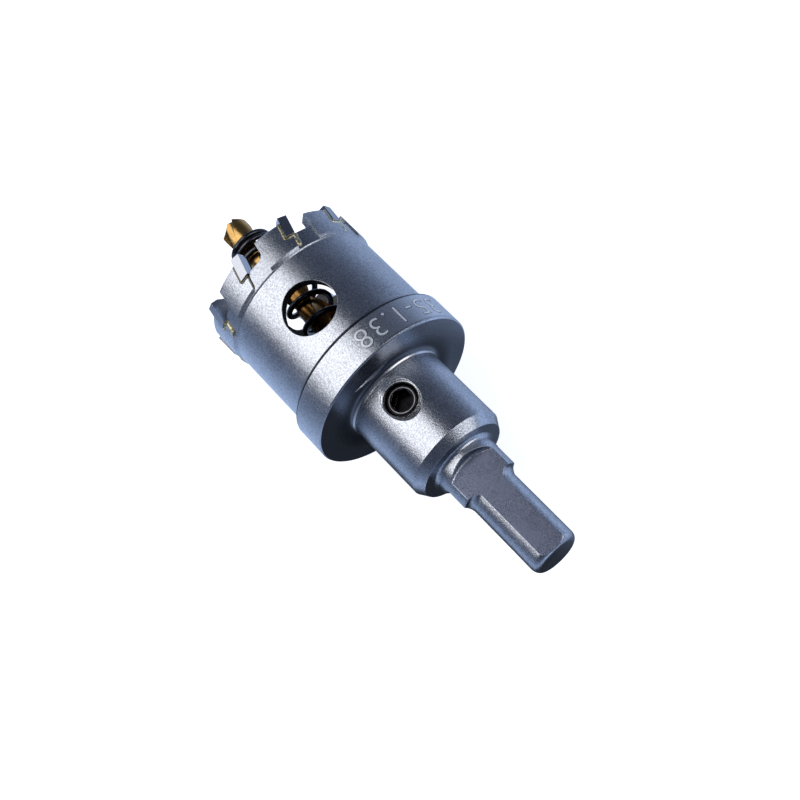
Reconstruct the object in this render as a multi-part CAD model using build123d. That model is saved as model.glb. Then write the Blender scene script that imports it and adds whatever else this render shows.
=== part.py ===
from build123d import *
from math import atan, cos, degrees, pi, radians, sin, sqrt, tan
import os

# A carbide-tipped hole cutter of 35 mm with its own shank, a pilot drill and an ejector spring.
# Lengths are in millimetres and angles in degrees.
# A station is a place along the tool's axis: zero at the flange's rear face, more towards the shank.
# An angle round the axis is counted from the window and the screw, in the direction of cutting.

# Cutting ring
cutting_diameter = 35.0
tooth_count = 9
first_tooth_angle = 32.3
tip_side_stand = 0.3
tip_inner_stand = 0.25
tip_front_stand = 1.1
tip_thickness = 1.9
tip_height = 4.75
tip_rake = 16.5
tip_back_clearance = 9.0
tip_crown = 0.35
braze_gap = 0.48
braze_recess = 0.12
seat_corner_radius = 0.7

# Gullets between the segments
gullet_width = 3.8
gullet_depth = 3.5
gullet_far_angle = 10.0
gullet_corner_radius = 1.9
segment_setback = 0.45
gullet_floor_rise = 0.15

# Cup
cup_length = 34.8
rim_length = 6.5
rim_step = 0.5
rim_chamfer_length = 1.0
rim_edge = 0.2
cup_wall = 2.2
floor_thickness = 6.5
floor_corner_radius = 1.5
window_diameter = 11.0
window_station = -16.9
window_count = 2

# Flange
flange_overhang = 0.6
flange_length = 7.8
flange_front_edge = 0.7
flange_rear_edge = 0.25

# Hub
hub_diameter = 20.7
hub_length = 19.7
hub_base_radius = 1.4
hub_chamfer_length = 2.0
hub_chamfer_depth = 1.2
screw_station = 6.3
screw_hole_diameter = 6.8
countersink_diameter = 9.6
countersink_angle = 118.0

# Collar and shank
collar_diameter = 13.0
collar_length = 7.8
collar_base_radius = 1.0
collar_edge_radius = 0.2
shank_diameter = 10.0
shank_length = 17.6
shank_root_radius = 1.3
shank_end_radius = 1.5
flat_count = 3
flat_distance = 4.25
flat_start = 1.8
flat_angle = 9.0
flat_runout_radius = 9.6
flat_corner_radius = 0.5

# Pilot drill
drill_diameter = 6.0
drill_reach = 17.5
drill_length = 68.0
drill_web = 1.1
drill_helix_angle = 28.0
drill_flute_length = 44.0
drill_flute_radius = 2.3
drill_point_angle = 118.0
drill_relief = 28.0
drill_turn = 175.0
drill_bore_clearance = 0.03
drill_lip_lag = 55.0

# Ejector spring
spring_wire = 1.2
spring_diameter = 9.6
spring_reach = 10.6
spring_end_turns = 2.0
spring_active_turns = 6.5
spring_end_gap = 0.08
spring_turn = 90.0
spring_wire_sides = 8

# Set screw
set_screw_length = 6.0
set_screw_socket = 4.0
set_screw_socket_depth = 2.6
set_screw_play = 0.05
set_screw_chamfer = 0.5

# Sizes that follow from the ones above
tip_radius = cutting_diameter / 2
rim_radius = tip_radius - tip_side_stand
body_radius = rim_radius - rim_step
bore_radius = body_radius - cup_wall
tip_inner_radius = bore_radius - tip_inner_stand
rim_front = -cup_length
rim_end = rim_front + rim_length
channel_end = rim_end + rim_chamfer_length
gullet_bottom = rim_front + gullet_depth
tip_front = rim_front - tip_front_stand
tip_base = tip_front + tip_height
tip_width = tip_thickness / cos(radians(tip_rake))
gap_width = braze_gap / cos(radians(tip_rake))
tooth_pitch = 360 / tooth_count
flange_radius = tip_radius + flange_overhang
hub_radius = hub_diameter / 2
collar_radius = collar_diameter / 2
collar_end = hub_length + collar_length
shank_radius = shank_diameter / 2
shank_end = collar_end + shank_length
drill_radius = drill_diameter / 2
drill_point = tip_front - drill_reach
drill_end = drill_point + drill_length
drill_bore_radius = drill_radius + drill_bore_clearance
drill_pitch = pi * drill_diameter / tan(radians(drill_helix_angle))
spring_front = tip_front - spring_reach
spring_rear = -floor_thickness

# How far a cutting shape runs past what it cuts
margin = 2.0


def round_axis(shape, angle):
    """Turns a piece made at the window's angle to its own angle round the tool's axis."""
    return Rotation(-angle, 0, 0) * shape


def tube(outer, inner, start, end):
    """A plain ring round the tool's axis between two stations."""
    ring = extrude(Plane.YZ.offset(start) * (Circle(outer) - Circle(inner)), end - start)
    return ring


def rod(radius, start, end):
    """A plain round bar on the tool's axis between two stations."""
    return extrude(Plane.YZ.offset(start) * Circle(radius), end - start)


def rake_line(station, back=0.0):
    """Where the cutting face lies beside the tooth's own radius, or a line that far behind it."""
    return -(station - tip_front) * tan(radians(tip_rake)) - back


def far_line(station):
    """Where the gullet's far wall lies, on the next segment's trailing end."""
    start = rake_line(rim_front) + gullet_width
    return start - (station - rim_front) * tan(radians(gullet_far_angle))


def pillar(plan, inner, outer):
    """Raises a plan of the tooth, seen from outside, from one radius to another."""
    return extrude(Plane.XY.offset(inner) * plan, outer - inner)


def body_profile():
    """Half of the turned section: outside from rim to shank end, inside back along the bore to the rim."""
    bore_cone = drill_bore_radius / tan(radians(drill_point_angle / 2))
    outline = Polyline(
        (rim_front, bore_radius),
        (rim_front, rim_radius),
        (rim_end, rim_radius),
        (channel_end, body_radius),
        (-flange_length, body_radius),
        (-flange_length, flange_radius),
        (0, flange_radius),
        (0, hub_radius),
        (hub_length - hub_chamfer_length, hub_radius),
        (hub_length, hub_radius - hub_chamfer_depth),
        (hub_length, collar_radius),
        (collar_end, collar_radius),
        (collar_end, shank_radius),
        (shank_end, shank_radius),
        (shank_end, 0),
        (drill_end + bore_cone, 0),
        (drill_end, drill_bore_radius),
        (-floor_thickness, drill_bore_radius),
        (-floor_thickness, bore_radius),
        close=True,
    )
    section = make_face(outline)
    for station, radius, rounding in (
        (0, hub_radius, hub_base_radius),
        (hub_length, collar_radius, collar_base_radius),
        (collar_end, collar_radius, collar_edge_radius),
        (collar_end, shank_radius, shank_root_radius),
        (shank_end, shank_radius, shank_end_radius),
        (-floor_thickness, bore_radius, floor_corner_radius),
    ):
        corner = section.vertices().sort_by_distance((station, radius, 0))[0]
        section = fillet(corner, rounding)
    for station, radius, edge in (
        (rim_front, rim_radius, rim_edge),
        (-flange_length, flange_radius, flange_front_edge),
        (0, flange_radius, flange_rear_edge),
    ):
        corner = section.vertices().sort_by_distance((station, radius, 0))[0]
        section = chamfer(corner, edge)
    return section


def segment_channel():
    """The stretch of the raised rim that is milled away in front of one tooth, almost down to the cup's side."""
    floor_radius = body_radius + gullet_floor_rise
    start = rim_front - margin
    end = channel_end
    plan = make_face(Polyline(
        (start, rake_line(start, segment_setback)),
        (end, rake_line(end, segment_setback)),
        (end, far_line(end)),
        (start, far_line(start)),
        close=True,
    ))
    cut = pillar(plan, floor_radius * 0.9, rim_radius + margin)
    return cut - rod(floor_radius, start - margin, end + margin)


def gullet_notch():
    """The round-cornered notch through the cup's wall in front of one tooth."""
    start = rim_front - margin
    plan = make_face(Polyline(
        (start, rake_line(start, segment_setback)),
        (gullet_bottom, rake_line(gullet_bottom, segment_setback)),
        (gullet_bottom, far_line(gullet_bottom)),
        (start, far_line(start)),
        close=True,
    ))
    corner = plan.vertices().sort_by_distance((gullet_bottom, far_line(gullet_bottom), 0))[0]
    plan = fillet(corner, gullet_corner_radius)
    return pillar(plan, bore_radius - margin, rim_radius + margin)


def seat_plan(front, side_back):
    """The L-shaped seat behind and under one tip, seen from outside."""
    base = tip_base + braze_gap
    back = tip_width + gap_width
    plan = make_face(Polyline(
        (front, rake_line(front, side_back)),
        (base, rake_line(base, side_back)),
        (base, rake_line(base, back)),
        (front, rake_line(front, back)),
        close=True,
    ))
    corner = plan.vertices().sort_by_distance((base, rake_line(base, back), 0))[0]
    return fillet(corner, seat_corner_radius)


def tip_plan(front):
    """One tip seen from outside: cutting face, base and back."""
    plan = make_face(Polyline(
        (front, rake_line(front)),
        (tip_base, rake_line(tip_base)),
        (tip_base, rake_line(tip_base, tip_width)),
        (front, rake_line(front, tip_width)),
        close=True,
    ))
    corner = plan.vertices().sort_by_distance((tip_base, rake_line(tip_base, tip_width), 0))[0]
    return fillet(corner, max(seat_corner_radius - braze_gap, 0.1))


def tip():
    """One carbide tip: raked cutting face, relieved front with a crown, curved sides."""
    prism = pillar(tip_plan(tip_front - margin), tip_inner_radius - margin, tip_radius + margin)
    crown_radius = (tip_radius + tip_inner_radius) / 2
    half_width = (tip_radius - tip_inner_radius) / 2
    fall = tip_crown * (half_width + margin) / half_width
    crown = make_face(Plane.XZ * Polyline(
        (tip_front, crown_radius),
        (tip_front + fall, crown_radius + half_width + margin),
        (tip_base + margin, crown_radius + half_width + margin),
        (tip_base + margin, crown_radius - half_width - margin),
        (tip_front + fall, crown_radius - half_width - margin),
        close=True,
    ))
    reach = tip_width + tip_height
    crown = extrude(crown, reach, both=True)
    pivot = Pos(tip_front, 0, 0)
    crown = pivot * Rotation(0, 0, -tip_back_clearance) * pivot.inverse() * crown
    sides = tube(tip_radius, tip_inner_radius, tip_front - margin, tip_base + margin)
    return prism & crown & sides


def braze():
    """The thin L of silver solder between one tip and its seat, a little below the rim's surface."""
    plan = seat_plan(rim_front, segment_setback) - tip_plan(tip_front - margin)
    seam = pillar(plan, bore_radius - margin, rim_radius + margin)
    return seam & tube(rim_radius - braze_recess, bore_radius, rim_front, tip_base + margin)


def tooth_angles():
    """The angle of each cutting edge round the axis."""
    return [first_tooth_angle + index * tooth_pitch for index in range(tooth_count)]


def window_cut():
    """The slug window, drilled across the cup."""
    radius = window_diameter / 2
    drill = Plane.XY.offset(radius) * Circle(radius)
    return Pos(window_station, 0, 0) * extrude(drill, flange_radius)


def screw_hole():
    """The cross hole for the set screw, with its wide drilled mouth at the hub's crest."""
    radius = screw_hole_diameter / 2
    sink_radius = countersink_diameter / 2
    slope = tan(radians(countersink_angle / 2))
    sink_depth = (sink_radius - radius) / slope
    mouth_radius = sink_radius + margin * slope
    hole = extrude(Plane.XY.offset(drill_bore_radius * 0.8) * Circle(radius), hub_radius)
    bottom = Plane.XY.offset(hub_radius - sink_depth)
    mouth = loft([bottom * Circle(radius), bottom.offset(sink_depth + margin) * Circle(mouth_radius)])
    return Pos(screw_station, 0, 0) * (hole + mouth)


def shank_flat():
    """One milled flat: it starts in an arc behind the hub and runs out through the shank's end."""
    start = hub_length + flat_start
    middle = start + flat_runout_radius
    plan = Pos(middle, 0) * Circle(flat_runout_radius)
    length = shank_end + margin - middle
    plan += Pos(middle + length / 2, 0) * Rectangle(length, 2 * flat_runout_radius)
    cutter = extrude(Plane.XY.offset(flat_distance) * plan, collar_radius)
    floor = cutter.edges().group_by(Axis.Z)[0]
    return fillet(floor.filter_by(GeomType.CIRCLE), flat_corner_radius)


def cutter_body():
    """Cup, flange, hub, collar and shank, turned from one bar and then milled and drilled."""
    body = revolve(body_profile(), Axis.X)
    seat_cut = pillar(seat_plan(rim_front - margin, 0), bore_radius - margin, rim_radius + margin)
    tooth_cut = gullet_notch() + seat_cut
    channel = segment_channel()
    for angle in tooth_angles():
        body -= round_axis(channel, angle)
        body -= round_axis(tooth_cut, angle)
    for index in range(window_count):
        body -= round_axis(window_cut(), index * 360 / window_count)
    body -= screw_hole()
    for index in range(flat_count):
        body -= round_axis(shank_flat(), flat_angle + index * 360 / flat_count)
    return body


def drill_flute():
    """One helical flute that ends in a round runout."""
    offset = drill_web / 2 + drill_flute_radius
    path = Line((0, 0, 0), (0, 0, drill_flute_length))
    twist = Helix(drill_pitch, drill_flute_length, drill_radius)
    flute = sweep(Pos(0, offset) * Circle(drill_flute_radius), path=path, binormal=twist)
    return flute + Pos(0, offset, 0) * Sphere(drill_flute_radius)


def pilot_drill():
    """Twist drill with two flutes and a two-facet point; the point is made upwards and then laid forward."""
    bar = extrude(Circle(drill_radius), drill_length)
    flute = Pos(0, 0, drill_length - drill_flute_length) * drill_flute()
    bar -= flute
    bar -= Rotation(0, 0, 180) * flute
    lip_slope = 1 / tan(radians(drill_point_angle / 2))
    relief_slope = tan(radians(drill_relief))
    roof_slope = sqrt(lip_slope**2 + relief_slope**2)
    ridge_angle = -degrees(atan(relief_slope / lip_slope))
    roof = make_face(Plane.YZ * Polyline(
        (0, drill_length),
        (drill_diameter, drill_length - drill_diameter * roof_slope),
        (drill_diameter, 0),
        (-drill_diameter, 0),
        (-drill_diameter, drill_length - drill_diameter * roof_slope),
        close=True,
    ))
    roof = extrude(roof, drill_diameter, both=True)
    end_turn = 360 * drill_flute_length / drill_pitch
    bar &= Rotation(0, 0, ridge_angle + end_turn - drill_lip_lag) * roof
    laid = Pos(drill_end, 0, 0) * Rotation(0, -90, 0) * bar
    return round_axis(laid, drill_turn)


def ejector_spring():
    """Compression spring round the pilot drill, standing on the cup's floor, with closed end turns.

    Its wire has a few flat sides, with the area of the round wire.
    """
    radius = (spring_diameter - spring_wire) / 2
    side_ratio = sqrt(2 * pi / (spring_wire_sides * sin(2 * pi / spring_wire_sides)))
    corner = side_ratio * spring_wire / 2
    end_pitch = spring_wire + spring_end_gap
    end_length = end_pitch * spring_end_turns
    rear = spring_rear - corner
    length = rear - spring_front - corner
    active_length = length - 2 * end_length
    active_pitch = active_length / spring_active_turns
    first = Helix(end_pitch, end_length, radius, lefthand=True)
    middle_turn = Rotation(0, 0, -360 * spring_end_turns)
    middle = Helix(active_pitch, active_length, radius, lefthand=True)
    middle = Pos(0, 0, end_length) * middle_turn * middle
    last_turn = Rotation(0, 0, -360 * (spring_end_turns + spring_active_turns))
    last = Pos(0, 0, end_length + active_length) * last_turn * first
    wire = Wire([first.edge(), middle.edge(), last.edge()])
    section = Plane(origin=wire @ 0, z_dir=wire % 0) * RegularPolygon(corner, spring_wire_sides)
    coil = sweep(section, path=wire, is_frenet=True)
    laid = Pos(rear, 0, 0) * Rotation(0, -90, 0) * coil
    return round_axis(laid, spring_turn)


def set_screw():
    """Socket set screw that holds the pilot drill; its thread's crests are left off."""
    radius = screw_hole_diameter / 2 - set_screw_play
    bottom = Plane.XY.offset(drill_radius)
    screw = extrude(bottom * Circle(radius), set_screw_length)
    screw = chamfer(screw.edges().filter_by(GeomType.CIRCLE), set_screw_chamfer)
    top = bottom.offset(set_screw_length)
    socket = extrude(top * RegularPolygon(set_screw_socket / 2, 6, major_radius=False), -set_screw_socket_depth)
    return Pos(screw_station, 0, 0) * (screw - socket)


def tool_pieces():
    """Every piece of the tool in its own frame, by name."""
    pieces = {
        "cutter_body": cutter_body(),
        "pilot_drill": pilot_drill(),
        "ejector_spring": ejector_spring(),
        "set_screw": set_screw(),
    }
    one_tip, one_braze = tip(), braze()
    for number, angle in enumerate(tooth_angles(), start=1):
        pieces[f"carbide_tip_{number}"] = round_axis(one_tip, angle)
        pieces[f"braze_{number}"] = round_axis(one_braze, angle)
    return pieces


def lying(shape):
    """Lays the tool on its flange, screw upwards, its middle over the origin and the table at zero height."""
    middle = (drill_point + shank_end) / 2
    return Pos(-middle, 0, flange_radius) * shape


os.makedirs("parts", exist_ok=True)
for name, piece in tool_pieces().items():
    export_step(lying(piece), f"parts/{name}.step")
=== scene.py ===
"""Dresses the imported 35 mm hole cutter: finishes for its CAD pieces, extra pieces, studio and camera."""

import math
import random

import bpy
from mathutils import Matrix, Vector


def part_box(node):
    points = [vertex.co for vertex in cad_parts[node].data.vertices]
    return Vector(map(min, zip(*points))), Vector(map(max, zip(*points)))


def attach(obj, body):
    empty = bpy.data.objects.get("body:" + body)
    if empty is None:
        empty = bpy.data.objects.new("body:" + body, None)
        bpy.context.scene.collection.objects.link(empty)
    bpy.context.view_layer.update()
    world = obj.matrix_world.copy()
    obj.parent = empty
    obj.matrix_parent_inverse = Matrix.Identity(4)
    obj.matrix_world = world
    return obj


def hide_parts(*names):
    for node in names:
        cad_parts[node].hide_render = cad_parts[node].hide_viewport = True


bl_info = {
    "name": "Carbide hole cutter",
    "version": (1, 0, 0),
    "blender": (4, 5, 0),
    "location": "View3D > Sidebar > Hole cutter",
    "description": "Builds the finishes, small pieces and studio of a carbide-tipped hole cutter",
    "category": "Object",
}

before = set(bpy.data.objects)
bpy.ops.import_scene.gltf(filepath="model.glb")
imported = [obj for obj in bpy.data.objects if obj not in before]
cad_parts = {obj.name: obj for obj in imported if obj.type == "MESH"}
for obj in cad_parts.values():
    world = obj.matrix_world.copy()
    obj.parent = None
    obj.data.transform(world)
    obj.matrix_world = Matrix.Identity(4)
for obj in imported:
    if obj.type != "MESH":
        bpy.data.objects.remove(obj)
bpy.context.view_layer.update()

MM = 0.001
PANEL_TAB = "Hole cutter"

# Sizes shared with the solids, in millimetres and degrees; a station is counted from the flange's rear face
TOOTH_COUNT = 9
FIRST_TOOTH_ANGLE = 32.3
TIP_FRONT = -35.9
TIP_RAKE = 16.5
TIP_BASE = -31.15
TIP_WIDTH = 1.98
SEAM_WIDTH = 0.5
SEGMENT_SETBACK = 0.45
RIM_FRONT = -34.8
RIM_RADIUS = 17.2
BODY_RADIUS = 16.7
POCKET_RADIUS = 16.85
CHANNEL_END = -27.3
BORE_RADIUS = 14.5
FLOOR_STATION = -6.5
FLANGE_RADIUS = 18.1
FLANGE_LENGTH = 7.8
HUB_RADIUS = 10.35
HUB_FILLET = 1.4
SCREW_STATION = 6.3
FLAT_COUNT = 3
FLAT_ANGLE = 9.0
FLAT_DISTANCE = 4.25
SPRING_FRONT = -46.5
SPRING_END_GAP = 0.08

# Places and shares of what scene.py adds, in millimetres
MARK_STATION = -3.9
MARK_FONT_SHARE = 1.40
MARK_SPACING = 1.12
THREAD_RADIUS = 3.34
THREAD_LOW = 8.95
THREAD_TURNS = 2
CREST_SHARE = 0.6
CREST_END_SWELL = 0.4
MOUTH_RADIUS = 4.9
SOCKET_HIGHLIGHT_RADIUS = 2.45
DRILL_SHADE_START = -34.0
DRILL_SHADE_END = -30.0
THIN_SOLDER_EVERY = 3
TARNISH_LEVEL = 0.22

# The tool's zero station on its axis, read from the boxes of the set screw and the body
SCREW_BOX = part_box("set_screw")
BODY_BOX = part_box("cutter_body")
AXIS_HEIGHT = (BODY_BOX[0].z + BODY_BOX[1].z) / 2
ZERO_STATION = (SCREW_BOX[0].x + SCREW_BOX[1].x) / 2 - SCREW_STATION * MM
ORIGIN = Vector((ZERO_STATION, 0, AXIS_HEIGHT))

# Colours that the finishes lay over their base colours
EDGE_BRIGHT = (0.80, 0.82, 0.85, 1.0)
FLAT_BLUE = (0.335, 0.375, 0.57, 1.0)
POCKET_GREY = (0.20, 0.22, 0.27, 1.0)
PAINTED_FILLET_HIGHLIGHT = (0.85, 0.85, 0.90, 1.0)
PAINTED_LAND_LIGHT = (0.90, 0.93, 1.0, 1.0)
MOUTH_BRIGHT = (0.80, 0.81, 0.83, 1.0)
PAINTED_STEP_SHADE = (0.025, 0.025, 0.03, 1.0)
PAINTED_BORE_SHADE = (0.045, 0.04, 0.04, 1.0)
GOLD_EDGE = (0.95, 0.80, 0.42, 1.0)
GOLD_SHADE = (0.18, 0.075, 0.015, 1.0)
BLACK_EDGE = (0.30, 0.30, 0.32, 1.0)
PAINTED_SOCKET_HIGHLIGHT = (0.50, 0.50, 0.58, 1.0)
CARBIDE_EDGE = (0.80, 0.80, 0.80, 1.0)
BRAZE_DULL = (0.30, 0.27, 0.14, 1.0)
FIGURE_DULL = (0.80, 0.83, 0.88, 1.0)
FIGURE_BRIGHT = (0.97, 0.98, 1.0, 1.0)

# The camera, in millimetres and degrees, with the zero station's place beside the line of sight
LENS = 61.4
FILM_WIDTH = 36.0
ZERO_RIGHT = -1.0406
ZERO_BELOW = -1.5726
WINDOW_TURN = -1.0

# The lamps, in metres and degrees
KEY_TURN = -24.0
KEY_DISTANCE = 0.62
KEY_SIZE = (0.74, 0.50)
KEY_COLOUR = (1.0, 0.985, 0.96)
SIDE_DIRECTION = (0.41, 0.72, 0.53)
SIDE_DISTANCE = 0.5
SIDE_SIZE = (0.46, 0.20)
SIDE_COLOUR = (1.0, 1.0, 1.0)

# The floor and the room
FLOOR_SIZE = 4.0
PAPER_WHITE = (0.80, 0.81, 0.83, 1.0)
PAPER_DARK = (0.03, 0.03, 0.03, 1.0)
PAPER_GLOW = 0.72
SHEEN_BLUE = (0.77, 1.0, 1.45, 1.0)
ROOM_BLUE = (0.55, 0.68, 1.0, 1.0)
WHITE = (1.0, 1.0, 1.0, 1.0)


class ToolSizes(bpy.types.PropertyGroup):
    """Sizes of the added pieces."""

    spring_wire: bpy.props.FloatProperty(
        name="Spring wire", description="Thickness of the ejector spring's wire",
        default=1.2 * MM, unit="LENGTH")
    spring_diameter: bpy.props.FloatProperty(
        name="Spring diameter", description="Outside diameter of the ejector spring",
        default=9.6 * MM, unit="LENGTH")
    spring_turns: bpy.props.FloatProperty(
        name="Active turns", description="Open turns of the ejector spring", default=6.5)
    spring_end_turns: bpy.props.FloatProperty(
        name="Closed turns", description="Closed turns at each end of the ejector spring", default=2.0)
    bead_width: bpy.props.FloatProperty(
        name="Bead width", description="Width of the solder bead round each tip",
        default=0.72 * MM, unit="LENGTH")
    thread_pitch: bpy.props.FloatProperty(
        name="Thread pitch", description="Pitch of the thread in the screw hole",
        default=0.35 * MM, unit="LENGTH")
    mark_height: bpy.props.FloatProperty(
        name="Mark height", description="Height of the size figures on the flange",
        default=4.3 * MM, unit="LENGTH")
    mark_angle: bpy.props.FloatProperty(
        name="Mark angle", description="Middle of the size figures round the flange, from the window",
        default=math.radians(37.5), subtype="ANGLE")
    mark_rise: bpy.props.FloatProperty(
        name="Mark rise", description="How far the size figures stand out of the flange",
        default=0.06 * MM, unit="LENGTH")


class ToolColours(bpy.types.PropertyGroup):
    """Colours of the finishes."""

    nickel: bpy.props.FloatVectorProperty(
        name="Nickel", description="Blasted nickel plate of the body",
        default=(0.57, 0.60, 0.67), subtype="COLOR", min=0, max=1)
    gold: bpy.props.FloatVectorProperty(
        name="Gold coat", description="Titanium nitride coat of the pilot drill",
        default=(0.58, 0.35, 0.12), subtype="COLOR", min=0, max=1)
    black: bpy.props.FloatVectorProperty(
        name="Black oxide", description="Black oxide of the screw and the spring",
        default=(0.060, 0.060, 0.068), subtype="COLOR", min=0, max=1)
    carbide: bpy.props.FloatVectorProperty(
        name="Carbide", description="Ground carbide of the tips",
        default=(0.42, 0.44, 0.49), subtype="COLOR", min=0, max=1)
    braze: bpy.props.FloatVectorProperty(
        name="Braze", description="Pale gold solder round the tips",
        default=(0.80, 0.74, 0.54), subtype="COLOR", min=0, max=1)


class StudioSettings(bpy.types.PropertyGroup):
    """The camera's place and the lamps."""

    view_angle: bpy.props.FloatProperty(
        name="View angle", description="Angle between the tool's axis and the line of sight",
        default=math.radians(66.102), subtype="ANGLE")
    view_roll: bpy.props.FloatProperty(
        name="View roll", description="Direction of the tool's axis in the picture, down from the right",
        default=math.radians(45.3132), subtype="ANGLE")
    view_distance: bpy.props.FloatProperty(
        name="View distance", description="Distance from the camera to the flange along the line of sight",
        default=260.0 * MM, unit="LENGTH")
    key_power: bpy.props.FloatProperty(
        name="Key power", description="Power of the large softbox in watts", default=2.2, min=0)
    side_power: bpy.props.FloatProperty(
        name="Side power", description="Power of the tall panel that the backward slopes mirror",
        default=0.62, min=0)
    room_level: bpy.props.FloatProperty(
        name="Room level", description="Brightness of the dim room that the metal mirrors",
        default=0.10, min=0)


# Shader maths


class Signal:
    """A socket of a material's nodes; arithmetic on it adds Math nodes."""

    def __init__(self, finish, socket):
        self.finish = finish
        self.socket = socket

    def math(self, operation, *others, clamp=False):
        settings = {"operation": operation, "use_clamp": clamp}
        return self.finish.node("ShaderNodeMath", settings, dict(enumerate((self, *others))))

    def __add__(self, other):
        return self.math("ADD", other)

    __radd__ = __add__

    def __mul__(self, other):
        return self.math("MULTIPLY", other)

    __rmul__ = __mul__

    def __sub__(self, other):
        return self.math("SUBTRACT", other)

    def __rsub__(self, other):
        return self.finish.node("ShaderNodeMath", {"operation": "SUBTRACT"}, {0: other, 1: self})

    def __pow__(self, other):
        return self.math("POWER", other)

    def clamped(self):
        """Held between 0 and 1."""
        return self.math("ADD", 0.0, clamp=True)

    def lowest(self, other):
        return self.math("MINIMUM", other)

    def highest(self, other):
        return self.math("MAXIMUM", other)

    def ramp(self, start, end, low=0.0, high=1.0):
        """Goes smoothly from low at start to high at end, and holds outside."""
        inputs = {"Value": self, "From Min": start, "From Max": end, "To Min": low, "To Max": high}
        return self.finish.node("ShaderNodeMapRange", {"interpolation_type": "SMOOTHSTEP"}, inputs)

    def between(self, start, end, soft):
        """1 from start to end, 0 outside, with soft ends."""
        return self.ramp(start - soft, start + soft) * self.ramp(end - soft, end + soft, 1.0, 0.0)


class Finish:
    """The nodes of one procedural material, or of the room round the tool."""

    def __init__(self, owner):
        self.owner = owner
        owner.use_nodes = True
        self.tree = owner.node_tree
        self.tree.nodes.clear()

    def node(self, kind, settings=None, inputs=None, out=0):
        """Adds a node: its settings first, then values or links into its sockets; gives one output."""
        node = self.tree.nodes.new(kind)
        for key, value in (settings or {}).items():
            setattr(node, key, value)
        for key, value in (inputs or {}).items():
            if isinstance(value, Signal):
                self.tree.links.new(value.socket, node.inputs[key])
            else:
                node.inputs[key].default_value = value
        return Signal(self, node.outputs[out])

    def tool_place(self):
        """Millimetres from the tool's zero station on its axis, in the object's own coordinates."""
        place = self.node("ShaderNodeTexCoord", out="Object")
        centred = {"Vector": place, "Location": tuple(-ORIGIN / MM), "Scale": (1 / MM,) * 3}
        return self.node("ShaderNodeMapping", {"vector_type": "POINT"}, centred)

    def facing(self):
        """The surface's direction in the object's own coordinates."""
        return self.node("ShaderNodeTexCoord", out="Normal")

    def parts(self, vector):
        """The three numbers of a vector."""
        split = self.node("ShaderNodeSeparateXYZ", None, {0: vector})
        outputs = split.socket.node.outputs
        return [Signal(self, outputs[index]) for index in range(3)]

    def dot(self, first, second):
        """How far one direction runs along another."""
        settings = {"operation": "DOT_PRODUCT"}
        return self.node("ShaderNodeVectorMath", settings, {0: first, 1: second}, out="Value")

    def stretched(self, vector, scale):
        """A place whose three numbers are each scaled, which stretches a pattern."""
        return self.node("ShaderNodeVectorMath", {"operation": "MULTIPLY"}, {0: vector, 1: scale})

    def noise(self, vector, per_mm, detail=2.0, roughness=0.5):
        """Even noise from 0 to 1 with so many grains to the millimetre."""
        inputs = {"Vector": vector, "Scale": per_mm, "Detail": detail, "Roughness": roughness}
        return self.node("ShaderNodeTexNoise", None, inputs)

    def mix(self, factor, first, second):
        """Mixes two colours."""
        inputs = {0: factor, 6: first, 7: second}
        return self.node("ShaderNodeMix", {"data_type": "RGBA"}, inputs, out=2)

    def layered(self, base, *layers):
        """Lays colours over a base one after the other, each by its own mask."""
        for mask, colour in layers:
            base = self.mix(mask, base, colour)
        return base

    def bevel(self, radius):
        """The surface's direction with its edges rounded."""
        return self.node("ShaderNodeBevel", {"samples": 6}, {"Radius": radius})

    def bump(self, height, distance, normal):
        """The direction with a relief of so much height laid over it."""
        inputs = {"Height": height, "Distance": distance, "Strength": 1.0, "Normal": normal}
        return self.node("ShaderNodeBump", None, inputs)

    def edge_mask(self, rounded, sharpness):
        """1 on the edges, from how far the rounded direction leaves the true one."""
        true = self.node("ShaderNodeNewGeometry", out="True Normal")
        return ((1.0 - self.dot(rounded, true)) * sharpness).clamped()

    def ray(self, kind):
        """1 for the rays of one kind, such as Is Glossy Ray."""
        return self.node("ShaderNodeLightPath", out=kind)

    def seen(self):
        """1 where the camera looks, straight or through a clear surface."""
        return self.ray("Is Camera Ray").highest(self.ray("Is Transmission Ray"))

    def surface(self, colour, roughness, normal, metallic=1.0):
        """Finishes the material with a Principled shader."""
        inputs = {"Base Color": colour, "Roughness": roughness, "Normal": normal, "Metallic": metallic}
        self.output("ShaderNodeOutputMaterial", self.node("ShaderNodeBsdfPrincipled", None, inputs))
        return self.owner

    def output(self, kind, shader):
        """Joins a shader to a new output node of the right kind."""
        last = self.tree.nodes.new(kind)
        self.tree.links.new(shader.socket, last.inputs["Surface"])


def new_finish(name):
    """An empty material to build a finish in."""
    return Finish(bpy.data.materials.new(name))


def rgba(colour, level=1.0):
    """A colour for a node, made darker or lighter by a level."""
    return tuple(channel * level for channel in colour[:3]) + (1.0,)


# Finishes


def screw_distance(station, side):
    """Distance from the set screw's axis."""
    return ((station - SCREW_STATION) ** 2.0 + side * side).math("SQRT")


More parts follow.
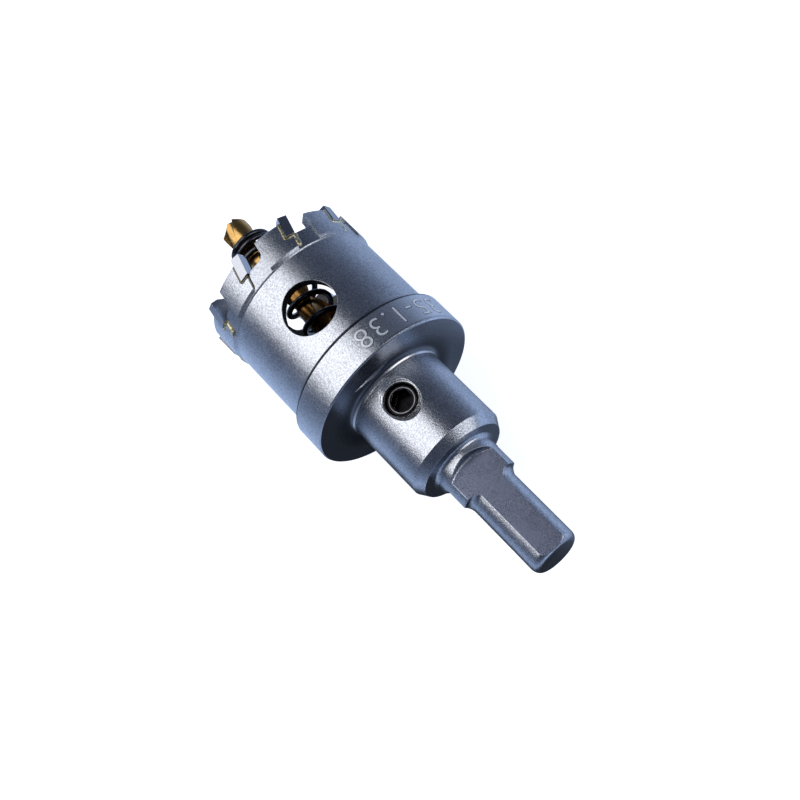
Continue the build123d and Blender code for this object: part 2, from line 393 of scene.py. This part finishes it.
class BodyMap:
    """Masks of the body's parts, each 1 on its part and 0 elsewhere."""

    def __init__(self, finish):
        self.finish = finish
        self.place = finish.tool_place()
        self.station, self.side, self.height = finish.parts(self.place)
        self.radius = (self.side * self.side + self.height * self.height).math("SQRT")
        self.from_screw = screw_distance(self.station, self.side)
        self.facing = finish.facing()
        self.facing_along = finish.parts(self.facing)[0]

    def flats(self):
        """The driving flats, from where they face and how far out they lie."""
        mask = 0.0
        for index in range(FLAT_COUNT):
            angle = math.radians(FLAT_ANGLE + index * 360 / FLAT_COUNT)
            outwards = (0.0, math.sin(angle), math.cos(angle))
            faces = self.finish.dot(self.facing, outwards).ramp(0.9985, 0.9995)
            distance = self.finish.dot(self.place, outwards)
            lies = distance.ramp(FLAT_DISTANCE - 0.05, FLAT_DISTANCE + 0.02)
            lies = lies * distance.ramp(FLAT_DISTANCE + 0.02, FLAT_DISTANCE + 0.08, 1.0, 0.0)
            mask = (faces * lies).highest(mask)
        return mask

    def end_faces(self):
        """The faces that look along the axis."""
        return self.facing_along.math("ABSOLUTE").ramp(0.90, 0.97)

    def inside(self):
        """The cup's bore, down to its floor."""
        within = self.radius.ramp(BORE_RADIUS + 0.05, BORE_RADIUS + 0.25, 1.0, 0.0)
        return within * self.station.ramp(FLOOR_STATION + 0.1, FLOOR_STATION + 0.3, 1.0, 0.0)

    def flange_step(self):
        """The narrow slope where the flange steps up from the cup, darkened with painted shade."""
        outside = self.radius.ramp(BODY_RADIUS + 0.10, BODY_RADIUS + 0.14)
        return outside * self.station.between(0.04 - FLANGE_LENGTH, 0.90 - FLANGE_LENGTH, 0.02)

    def hub_fillet(self):
        """The fillet between hub and flange, which fades out over the flange's rear face; painted shade
        darkens it.
        """
        end = HUB_RADIUS + HUB_FILLET
        ring = self.radius.ramp(HUB_RADIUS, HUB_RADIUS + 0.06)
        ring = ring * self.radius.ramp(end - 0.2, end + 3.4, 1.0, 0.0)
        return ring * self.station.between(-0.08, HUB_FILLET, 0.03)

    def screw_mouth(self):
        """The drilled mouth of the screw hole."""
        ring = self.from_screw.between(THREAD_RADIUS + 0.08, MOUTH_RADIUS, 0.03)
        sunk = self.radius.ramp(HUB_RADIUS - 0.10, HUB_RADIUS - 0.04, 1.0, 0.0)
        return ring * sunk * self.height.ramp(THREAD_LOW - 0.05, THREAD_LOW + 0.15)

    def rim_pockets(self):
        """The milled floors between the teeth."""
        floor = self.radius.between(POCKET_RADIUS - 0.02, POCKET_RADIUS + 0.06, 0.015)
        return floor * self.station.ramp(CHANNEL_END - 0.4, CHANNEL_END - 0.3, 1.0, 0.0)

    def figure_land(self):
        """The flange's outer face on one side round the size figures, brightened with painted light."""
        land = self.radius.ramp(FLANGE_RADIUS - 0.10, FLANGE_RADIUS - 0.05)
        land = land * self.station.between(1.0 - FLANGE_LENGTH, -0.7, 0.1)
        return land * self.side.between(5.5, 17.6, 2.5) * self.height.ramp(0.0, 3.0)


def nickel_finish(colours):
    """Blasted nickel plate, brighter on edges, smooth on the flats, turned on the end faces; painted shade
    darkens the end faces, the hub fillet, the flange step and the bore, painted light brightens one side of
    the flange's land, and a painted highlight lines the fillet.
    """
    finish = new_finish("blasted_nickel")
    body = BodyMap(finish)
    flat = body.flats()
    end_face = body.end_faces()
    inside = body.inside()
    fillet = body.hub_fillet()
    fillet_highlight = fillet * body.facing_along.between(0.30, 0.58, 0.08)
    mouth = body.screw_mouth()
    pocket = body.rim_pockets()

    fine = finish.noise(body.place, 6.0, 2.0, 0.6)
    coarse = finish.noise(body.place, 3.2, 2.0, 0.6)
    smudge = finish.noise(body.place, 0.16, 3.0, 0.55)
    drawn = finish.noise(finish.stretched(body.place, (6.0, 0.35, 0.35)), 1.0, 3.0, 0.6)
    turned = (body.radius * 21.0 + coarse * 1.6).math("SINE")
    drilled = (body.from_screw * 17.0).math("SINE")

    blasted = (1.0 - flat * 0.8) * (1.0 - end_face * 0.5)
    smooth = 1.0 - (fillet * 0.8).highest(pocket * 0.6)
    grain = (fine * 0.4 + coarse * 0.6) * blasted * smooth
    grain = grain + turned * end_face * 0.16 + drawn * flat * 0.10 + drilled * mouth * 0.35
    rounded = finish.bevel(0.14 * MM)
    normal = finish.bump(grain, 0.055 * MM, rounded)
    edge = finish.edge_mask(rounded, 9.0)

    speckle = (coarse * 0.8 + smudge * 0.2).ramp(0.36, 0.64)
    base = finish.layered(
        finish.mix(speckle, rgba(colours.nickel, 0.66), rgba(colours.nickel, 1.12)),
        (flat * 0.75, FLAT_BLUE),
        (edge * 0.55, EDGE_BRIGHT),
        (pocket * 0.25, POCKET_GREY),
        # painted shade: the faces that look along the axis are darkened
        (end_face * 0.5, rgba(colours.nickel, 0.3)),
        # painted shade darkens the fillet, and a painted highlight line lies along its middle
        (fillet * 0.9, rgba(colours.nickel, 0.18)),
        (fillet_highlight * 0.7, PAINTED_FILLET_HIGHLIGHT),
        # painted light: one side of the flange's land is lightened
        (body.figure_land() * 0.55, PAINTED_LAND_LIGHT),
        (mouth * 0.6, MOUTH_BRIGHT),
        # painted shade: the flange's front step is darkened to black
        (body.flange_step(), PAINTED_STEP_SHADE),
        # painted shade: the cup's bore is darkened to near black
        (inside * 0.9, PAINTED_BORE_SHADE))
    roughness = 0.28 + (fine - 0.5) * 0.16 * blasted + (smudge - 0.5) * 0.10
    roughness = roughness - end_face * 0.09 + inside * 0.12 + end_face * fillet * 0.25
    return finish.surface(base, roughness, normal)


def gold_finish(colours):
    """Titanium nitride over ground steel: fine grinding lines, paler edges, darker inside the cup."""
    finish = new_finish("gold_coat")
    place = finish.tool_place()
    lines = finish.noise(finish.stretched(place, (9.0, 2.2, 2.2)), 1.0, 3.0, 0.65)
    smudge = finish.noise(place, 0.55, 2.0, 0.5)
    rounded = finish.bevel(0.06 * MM)
    inside = finish.parts(place)[0].ramp(DRILL_SHADE_START, DRILL_SHADE_END)
    base = finish.layered(
        finish.mix(smudge.ramp(0.3, 0.75), rgba(colours.gold, 0.78), rgba(colours.gold, 1.1)),
        (finish.edge_mask(rounded, 7.0) * 0.7, GOLD_EDGE),
        (inside * 0.75, GOLD_SHADE))
    roughness = 0.16 + lines * 0.12 + (smudge - 0.5) * 0.06
    return finish.surface(base, roughness, finish.bump(lines, 0.012 * MM, rounded))


def black_finish(name, colours, grain_per_mm, wear, level=1.0, highlight_radius=None):
    """Black oxide with an oily sheen, worn edges and, round a screw's socket, a painted highlight ring."""
    finish = new_finish(name)
    place = finish.tool_place()
    fine = finish.noise(place, grain_per_mm, 2.0, 0.55)
    smudge = finish.noise(place, 0.7, 2.0, 0.5)
    rounded = finish.bevel(0.08 * MM)
    dark = rgba(colours.black, 0.8 * level)
    light = rgba(colours.black, 1.6 * level)
    base = finish.mix(smudge.ramp(0.35, 0.7), dark, light)
    base = finish.mix(finish.edge_mask(rounded, 6.0) * wear, base, BLACK_EDGE)
    if highlight_radius is not None:
        # painted highlight: a bright ring round the screw's socket
        station, side, _ = finish.parts(place)
        ring = screw_distance(station, side).between(highlight_radius - 0.09, highlight_radius + 0.09, 0.03)
        base = finish.mix(ring * smudge * 0.6, base, PAINTED_SOCKET_HIGHLIGHT)
    roughness = 0.20 + fine * 0.12 + (smudge - 0.5) * 0.08
    return finish.surface(base, roughness, finish.bump(fine, 0.008 * MM, rounded))


def carbide_finish(colours):
    """Ground carbide: grinding lines across the faces and tiny bright chips along the edges."""
    finish = new_finish("ground_carbide")
    place = finish.tool_place()
    lines = finish.noise(finish.stretched(place, (14.0, 1.5, 1.5)), 1.0, 3.0, 0.6)
    fine = finish.noise(place, 9.0, 2.0, 0.6)
    rounded = finish.bevel(0.07 * MM)
    chips = finish.edge_mask(rounded, 8.0) * fine.ramp(0.35, 0.6)
    base = finish.layered(
        finish.mix(fine.ramp(0.3, 0.7), rgba(colours.carbide, 0.8), rgba(colours.carbide, 1.15)),
        (chips * 0.8, CARBIDE_EDGE))
    roughness = 0.15 + lines * 0.10 + (fine - 0.5) * 0.06
    return finish.surface(base, roughness, finish.bump(lines * 0.7 + fine * 0.3, 0.008 * MM, rounded))


def braze_finish(name, colours, level=1.0):
    """Pale gold solder with a lumpy skin, tarnished in patches, and darker all over at a low level."""
    finish = new_finish(name)
    place = finish.tool_place()
    lumps = finish.noise(place, 1.6, 2.0, 0.5)
    fine = finish.noise(place, 7.0, 2.0, 0.6)
    patches = finish.noise(place, 0.11, 1.0, 0.5)
    base = finish.layered(
        rgba(BRAZE_DULL, level),
        (patches.ramp(0.40, 0.56), rgba(colours.braze, level)),
        (lumps.ramp(0.35, 0.7), rgba(colours.braze, level * 1.1)))
    roughness = 0.34 + (fine - 0.5) * 0.2
    normal = finish.bump(lumps * 0.8 + fine * 0.2, 0.10 * MM, finish.bevel(0.08 * MM))
    return finish.surface(base, roughness, normal)


def figure_finish():
    """Bright metal of the raised figures."""
    finish = new_finish("raised_figures")
    fine = finish.noise(finish.tool_place(), 6.0, 2.0, 0.6)
    base = finish.mix(fine.ramp(0.3, 0.7), FIGURE_DULL, FIGURE_BRIGHT)
    normal = finish.bump(fine, 0.012 * MM, finish.bevel(0.05 * MM))
    return finish.surface(base, 0.30 + fine * 0.1, normal, metallic=0.6)


def dress(node, material):
    """Gives a CAD node its finish."""
    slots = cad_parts[node].data.materials
    slots.clear()
    slots.append(material)


# Modelling helpers


def deselect_all():
    bpy.ops.object.select_all(action="DESELECT")


def only(piece):
    """Makes one object selected and active."""
    deselect_all()
    piece.select_set(True)
    bpy.context.view_layer.objects.active = piece


def settle(piece):
    """Puts a piece's place into its mesh."""
    only(piece)
    bpy.ops.object.transform_apply(location=True, rotation=True, scale=True)


def adopt(piece, name, material):
    """Names a finished piece, finishes it and ties it to the tool."""
    piece.name = name
    piece.data.name = name
    piece.data.materials.clear()
    piece.data.materials.append(material)
    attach(piece, "root")


def on_axis(station, radius=0.0, angle=0.0):
    """A point at a station in millimetres, a radius and an angle in degrees from the window."""
    turn = math.radians(angle)
    offset = Vector((station, radius * math.sin(turn), radius * math.cos(turn)))
    return ORIGIN + offset * MM


def lay_wire(lines, thickness):
    """Lays round wire along lines of points with a swell for each point, and makes it a mesh."""
    deselect_all()
    bpy.ops.curve.primitive_nurbs_path_add()
    wire = bpy.context.object
    wire.data.splines.clear()
    for points, swells in lines:
        line = wire.data.splines.new("NURBS")
        line.points.add(len(points) - 1)
        for point, place, swell in zip(line.points, points, swells):
            point.co = (*place, 1.0)
            point.radius = swell
        line.order_u = 3
        line.use_endpoint_u = True
    wire.data.resolution_u = 2
    wire.data.bevel_depth = thickness / 2
    wire.data.bevel_resolution = 4
    wire.data.use_fill_caps = True
    only(wire)
    bpy.ops.object.convert(target="MESH")
    bpy.ops.object.shade_smooth_by_angle(angle=math.radians(50))
    return wire


def turned_copy(piece, angle):
    """A copy of a piece turned round the tool's axis from the window's angle to its own."""
    only(piece)
    bpy.ops.object.duplicate(linked=False)
    copy = bpy.context.object
    turn = Matrix.Translation(ORIGIN) @ Matrix.Rotation(-angle, 4, "X") @ Matrix.Translation(-ORIGIN)
    copy.matrix_world = turn @ copy.matrix_world
    settle(copy)
    return copy


# Pieces


def spring_points(sizes):
    """The middle line of the spring's wire, from the cup's floor to the free end."""
    wire = sizes.spring_wire / MM
    radius = (sizes.spring_diameter / MM - wire) / 2
    inset = wire * 0.53
    rear = FLOOR_STATION - inset
    length = rear - SPRING_FRONT - inset
    closed = sizes.spring_end_turns
    turns = sizes.spring_turns + 2 * closed
    closed_pitch = wire + SPRING_END_GAP
    open_pitch = (length - 2 * closed_pitch * closed) / sizes.spring_turns
    steps = 20
    points = []
    for step in range(int(turns * steps) + 1):
        turn = step / steps
        if turn < closed:
            travel = closed_pitch * turn
        elif turn > turns - closed:
            travel = length - closed_pitch * (turns - turn)
        else:
            travel = closed_pitch * closed + open_pitch * (turn - closed)
        points.append(on_axis(rear - travel, radius, 90 - 360 * turn))
    return points


def tooth_place(station, back, radius):
    """A point beside the tooth at the window's angle, so far behind its cutting face, on a round surface."""
    offset = -(station - TIP_FRONT) * math.tan(math.radians(TIP_RAKE)) - back
    return ORIGIN + Vector((station, offset, math.sqrt(radius**2 - offset**2))) * MM


def has_thin_solder(number):
    """Whether a tooth's solder is thin and tarnished, as it is on every third one."""
    return number % THIN_SOLDER_EVERY == 0


def seam_points():
    """The middle line of the solder round one tip: down its back, round the corner, under its base."""
    back = TIP_WIDTH + SEAM_WIDTH / 2
    base = TIP_BASE + SEAM_WIDTH / 2
    radius = RIM_RADIUS - 0.20
    start = RIM_FRONT + 0.12
    down_step = 0.30
    under_step = 0.28
    corner = 0.62
    corner_steps = 5
    points = [tooth_place(start + down_step * step, back, radius) for step in range(11)]
    for step in range(corner_steps + 1):
        share = step / corner_steps
        points.append(tooth_place(base - corner * (1 - share) ** 2, back - corner * share**2, radius))
    points += [tooth_place(base, back - corner - under_step * step, radius) for step in range(1, 6)]
    return points


def run_points(ahead, depth):
    """The middle line of solder that ran down before a segment, ahead of it and sunk in the floor."""
    start = TIP_BASE + 0.10
    back = SEGMENT_SETBACK - ahead
    down_step = 0.36
    return [tooth_place(start + down_step * step, back, POCKET_RADIUS - depth) for step in range(9)]


def thread_points(pitch):
    """The middle line of the crests at the top of the screw hole's thread."""
    steps = 24
    points = []
    for step in range(THREAD_TURNS * steps + 1):
        turn = 2 * math.pi * step / steps
        offset = Vector((math.cos(turn), math.sin(turn), 0)) * THREAD_RADIUS * MM
        points.append(on_axis(SCREW_STATION, THREAD_LOW + pitch / MM * step / steps) + offset)
    return points


class SAW_OT_finishes(bpy.types.Operator):
    """Gives every CAD piece of the cutter its finish"""

    bl_idname = "saw.finishes"
    bl_label = "Finish the CAD pieces"

    def execute(self, context):
        colours = context.scene.saw_colours
        dress("cutter_body", nickel_finish(colours))
        dress("pilot_drill", gold_finish(colours))
        dress("set_screw", black_finish(
            "black_screw", colours, grain_per_mm=6.0, wear=0.6, level=0.10, highlight_radius=SOCKET_HIGHLIGHT_RADIUS))
        carbide = carbide_finish(colours)
        bright = braze_finish("braze_seam", colours)
        dull = braze_finish("tarnished_seam", colours, TARNISH_LEVEL)
        for number in range(1, TOOTH_COUNT + 1):
            dress(f"carbide_tip_{number}", carbide)
            dress(f"braze_{number}", dull if has_thin_solder(number) else bright)
        return {"FINISHED"}


class SAW_OT_spring(bpy.types.Operator):
    """Winds the ejector spring from round wire, in place of the plain solid"""

    bl_idname = "saw.spring"
    bl_label = "Ejector spring"

    def execute(self, context):
        sizes = context.scene.saw_sizes
        points = spring_points(sizes)
        spring = lay_wire([(points, [1.0] * len(points))], sizes.spring_wire)
        black = black_finish("black_spring", context.scene.saw_colours, grain_per_mm=5.0, wear=0.2)
        adopt(spring, "ejector_spring_wire", black)
        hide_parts("ejector_spring")
        return {"FINISHED"}


class SAW_OT_beads(bpy.types.Operator):
    """Runs a lumpy bead of solder round every tip and into the corner beside it"""

    bl_idname = "saw.beads"
    bl_label = "Solder beads"

    def execute(self, context):
        sizes = context.scene.saw_sizes
        colours = context.scene.saw_colours
        lumps = random.Random(7)
        full_run = run_points(ahead=0.45, depth=0.20)
        full = self.bead(sizes, lumps, full_run, seam_swell=1.0, run_swell=1.9)
        thin_run = run_points(ahead=0.12, depth=0.02)
        thin = self.bead(sizes, lumps, thin_run, seam_swell=0.85, run_swell=0.75)
        bright = braze_finish("solder_bead", colours)
        dull = braze_finish("tarnished_bead", colours, TARNISH_LEVEL)
        for number in range(1, TOOTH_COUNT + 1):
            angle = math.radians(FIRST_TOOTH_ANGLE + (number - 1) * 360 / TOOTH_COUNT)
            bead, solder = (thin, dull) if has_thin_solder(number) else (full, bright)
            adopt(turned_copy(bead, angle), f"solder_bead_{number}", solder)
        bpy.data.objects.remove(full)
        bpy.data.objects.remove(thin)
        return {"FINISHED"}

    def bead(self, sizes, lumps, run, seam_swell, run_swell):
        """Solder along a tip's seam and along its run, swollen unevenly round the bead's width."""
        seam = seam_points()
        seam_swells = [seam_swell * (0.94 + 0.16 * lumps.random()) for _ in seam]
        run_swells = [run_swell * (0.85 + 0.30 * lumps.random()) for _ in run]
        run_swells[-1] = run_swell * 0.5
        return lay_wire([(seam, seam_swells), (run, run_swells)], sizes.bead_width)


class SAW_OT_figures(bpy.types.Operator):
    """Raises the size figures on the flange"""

    bl_idname = "saw.figures"
    bl_label = "Size figures"

    def execute(self, context):
        sizes = context.scene.saw_sizes
        # painted shadow: a dark, wider, lower copy of the figures set a little to one side
        painted_shadow = self.strokes(sizes, spread=0.02, rise=0.5, shift=0.07)
        black = black_finish("figure_painted_shadow", context.scene.saw_colours, grain_per_mm=6.0, wear=0.0)
        adopt(painted_shadow, "size_figures_painted_shadow", black)
        face = self.strokes(sizes, spread=-0.07, rise=1.0, shift=0.0)
        adopt(face, "size_figures", figure_finish())
        return {"FINISHED"}

    def strokes(self, sizes, spread, rise, shift):
        """The figures as a thin solid wrapped round the flange: wider, lower or moved round it."""
        deselect_all()
        bpy.ops.object.text_add(location=(0, 0, 0))
        figures = bpy.context.object
        figures.data.body = "35-1.38"
        figures.data.size = sizes.mark_height * MARK_FONT_SHARE
        figures.data.align_x = "CENTER"
        figures.data.align_y = "CENTER"
        figures.data.space_character = MARK_SPACING
        figures.data.offset = spread * MM
        figures.data.extrude = sizes.mark_rise * rise
        only(figures)
        bpy.ops.object.convert(target="MESH")
        self.cut(spacing=0.55, each_side=18)
        for vertex in figures.data.vertices:
            across, along, height = vertex.co / MM
            angle = math.degrees(sizes.mark_angle - (across - shift) / FLANGE_RADIUS)
            vertex.co = on_axis(MARK_STATION + along, FLANGE_RADIUS + height, angle)
        return figures

    def cut(self, spacing, each_side):
        """Cuts the figures across at even distances, so that they can bend round the flange."""
        bpy.ops.object.mode_set(mode="EDIT")
        bpy.ops.mesh.select_all(action="SELECT")
        bpy.ops.mesh.remove_doubles(threshold=0.002 * MM)
        for step in range(-each_side, each_side + 1):
            bpy.ops.mesh.select_all(action="SELECT")
            bpy.ops.mesh.bisect(plane_co=(step * spacing * MM, 0, 0), plane_no=(1, 0, 0))
        bpy.ops.object.mode_set(mode="OBJECT")


class SAW_OT_thread(bpy.types.Operator):
    """Winds the thread's crests that show in the mouth of the screw hole"""

    bl_idname = "saw.thread"
    bl_label = "Screw hole thread"

    def execute(self, context):
        sizes = context.scene.saw_sizes
        points = thread_points(sizes.thread_pitch)
        swells = [CREST_END_SWELL] + [1.0] * (len(points) - 2) + [CREST_END_SWELL]
        thread = lay_wire([(points, swells)], sizes.thread_pitch * CREST_SHARE)
        black = black_finish("black_thread", context.scene.saw_colours, grain_per_mm=6.0, wear=0.6, level=0.6)
        adopt(thread, "screw_hole_thread", black)
        return {"FINISHED"}


# Studio


def view_frame(studio):
    """The tool's three directions and its place as the camera sees them: right, down and away."""
    angle, roll = studio.view_angle, studio.view_roll
    axis = Vector((math.sin(angle) * math.cos(roll), math.sin(angle) * math.sin(roll), -math.cos(angle)))
    place = Vector((ZERO_RIGHT * MM, ZERO_BELOW * MM, studio.view_distance))
    near = (axis * place.dot(axis) - place).normalized()
    turn = math.radians(WINDOW_TURN)
    up = near * math.cos(turn) + near.cross(axis) * math.sin(turn)
    side = up.cross(axis)
    return axis, side, up, place


def place_camera(context, studio):
    """Puts the camera where the photo was taken from."""
    axis, side, up, place = view_frame(studio)
    to_world = Matrix((axis, side, up))
    camera = bpy.data.cameras.new("photo_camera")
    camera.lens = LENS
    camera.sensor_width = FILM_WIDTH
    camera.clip_start = 0.01
    camera.clip_end = 20.0
    holder = bpy.data.objects.new("photo_camera", camera)
    context.scene.collection.objects.link(holder)
    right = to_world @ Vector((1, 0, 0))
    above = to_world @ Vector((0, -1, 0))
    behind = to_world @ Vector((0, 0, -1))
    turned = Matrix((right, above, behind)).transposed().to_4x4()
    holder.matrix_world = Matrix.Translation(ORIGIN - to_world @ place) @ turned
    context.scene.camera = holder


def floor_sheen(finish):
    """How brightly the floor glows in the metal's mirror, a painted reflection with painted shade under the
    tool, at each place in millimetres along and across the tool.
    """
    place = finish.stretched(finish.node("ShaderNodeTexCoord", out="Object"), (1 / MM,) * 3)
    along, across, _ = finish.parts(place)
    fading = (across.math("ABSOLUTE") * -0.022 + 0.45).lowest(0.0).math("EXPONENT")
    under_tool = along.between(-4.0, 85.0, 8.0)
    under_tool = under_tool * across.ramp(-36.0, -28.0) * across.ramp(16.0, 24.0, 1.0, 0.0)
    shade = under_tool * across.ramp(-4.0, 12.0, 0.97, 0.82)
    dim_strip = across.between(14.0, 44.0, 6.0)
    pale_patch = along.between(-15.0, 120.0, 10.0) * across.between(55.0, 400.0, 10.0)
    return (0.26 + 0.55 * fading) * (1.0 - shade) * (1.0 - 0.30 * dim_strip) + 0.3 * pale_patch


def lay_floor():
    """A pale floor, white to the camera but for the tool's shadow; to the metal it is dark and glows with a
    bluish painted reflection.
    """
    deselect_all()
    bpy.ops.mesh.primitive_plane_add(size=FLOOR_SIZE, location=(0, 0, 0))
    floor = bpy.context.object
    floor.name = "floor"
    finish = new_finish("pale_floor")
    mirrored = finish.ray("Is Glossy Ray")
    # painted reflection: the floor glows, bluish, only to glossy rays, with painted shade under the tool
    sheen_level = floor_sheen(finish) * mirrored
    tone = finish.mix(mirrored, PAPER_WHITE, PAPER_DARK)
    paper = finish.node("ShaderNodeBsdfDiffuse", None, {"Color": tone})
    white = finish.node("ShaderNodeEmission", None, {"Color": WHITE, "Strength": PAPER_GLOW * finish.seen()})
    sheen = finish.node("ShaderNodeEmission", None, {"Color": SHEEN_BLUE, "Strength": sheen_level})
    lit = finish.node("ShaderNodeAddShader", None, {0: paper, 1: white})
    finish.output("ShaderNodeOutputMaterial", finish.node("ShaderNodeAddShader", None, {0: lit, 1: sheen}))
    floor.data.materials.append(finish.owner)


def add_lamp(context, name, place, size, power, colour):
    """A flat lamp at a place, aimed at the tool."""
    lamp = bpy.data.lights.new(name, "AREA")
    lamp.shape = "RECTANGLE"
    lamp.size, lamp.size_y = size
    lamp.energy = power
    lamp.color = colour
    holder = bpy.data.objects.new(name, lamp)
    context.scene.collection.objects.link(holder)
    back = (place - ORIGIN).normalized()
    wide = Vector((1, 0, 0)).cross(back).normalized()
    turned = Matrix((wide, back.cross(wide), back)).transposed().to_4x4()
    holder.matrix_world = Matrix.Translation(place) @ turned


def around(studio, turn, distance):
    """A place turned round the tool from the camera's side, which its round sides mirror at half the turn."""
    lean = math.pi / 2 - studio.view_angle
    beta = math.radians(turn)
    level = math.cos(lean)
    direction = Vector((-math.sin(lean), level * math.sin(beta), level * math.cos(beta)))
    return ORIGIN + direction * distance


def hang_lamps(context, studio):
    """A large softbox that the round sides mirror as a stripe, and a panel for the backward slopes."""
    key_place = around(studio, KEY_TURN, KEY_DISTANCE)
    add_lamp(context, "key_softbox", key_place, KEY_SIZE, studio.key_power, KEY_COLOUR)
    side_place = ORIGIN + Vector(SIDE_DIRECTION).normalized() * SIDE_DISTANCE
    add_lamp(context, "side_panel", side_place, SIDE_SIZE, studio.side_power, SIDE_COLOUR)


def fill_room(context, studio):
    """A dim bluish room for the metal, and white for the camera."""
    world = bpy.data.worlds.new("room")
    context.scene.world = world
    room = Finish(world)
    rise = room.parts(room.node("ShaderNodeTexCoord", out="Generated"))[2]
    level = studio.room_level + rise.ramp(0.05, 0.50, 0.16, 0.0) + 0.35 * room.ray("Is Diffuse Ray")
    dim = room.node("ShaderNodeBackground", None, {"Color": ROOM_BLUE, "Strength": level})
    white = room.node("ShaderNodeBackground", None, {"Color": WHITE, "Strength": 1.0})
    both = room.node("ShaderNodeMixShader", None, {0: room.seen(), 1: dim, 2: white})
    room.output("ShaderNodeOutputWorld", both)


class SAW_OT_studio(bpy.types.Operator):
    """Sets the pale floor, the soft lamps, the room and the camera"""

    bl_idname = "saw.studio"
    bl_label = "Studio and camera"

    def execute(self, context):
        studio = context.scene.saw_studio
        context.scene.view_settings.view_transform = "Standard"
        place_camera(context, studio)
        lay_floor()
        hang_lamps(context, studio)
        fill_room(context, studio)
        return {"FINISHED"}


class SAW_PT_panel(bpy.types.Panel):
    """Lists the cutter's pieces and settings"""

    bl_idname = "SAW_PT_panel"
    bl_label = "Hole cutter"
    bl_space_type = "VIEW_3D"
    bl_region_type = "UI"
    bl_category = PANEL_TAB

    def draw(self, context):
        for group in (context.scene.saw_sizes, context.scene.saw_colours, context.scene.saw_studio):
            column = self.layout.column(align=True)
            for name in group.bl_rna.properties.keys():
                if name not in ("rna_type", "name"):
                    column.prop(group, name)
        for operator in OPERATORS:
            self.layout.operator(operator.bl_idname)


GROUPS = {"saw_sizes": ToolSizes, "saw_colours": ToolColours, "saw_studio": StudioSettings}
OPERATORS = (
    SAW_OT_studio,
    SAW_OT_finishes,
    SAW_OT_spring,
    SAW_OT_beads,
    SAW_OT_figures,
    SAW_OT_thread,
)


def register():
    for cls in (*GROUPS.values(), *OPERATORS, SAW_PT_panel):
        bpy.utils.register_class(cls)
    for name, group in GROUPS.items():
        setattr(bpy.types.Scene, name, bpy.props.PointerProperty(type=group))


def unregister():
    for name in GROUPS:
        delattr(bpy.types.Scene, name)
    for cls in reversed((*GROUPS.values(), *OPERATORS, SAW_PT_panel)):
        bpy.utils.unregister_class(cls)


def main():
    """Builds everything in order."""
    register()
    bpy.ops.saw.studio()
    bpy.ops.saw.finishes()
    bpy.ops.saw.spring()
    bpy.ops.saw.beads()
    bpy.ops.saw.figures()
    bpy.ops.saw.thread()


if __name__ == "__main__":
    main()
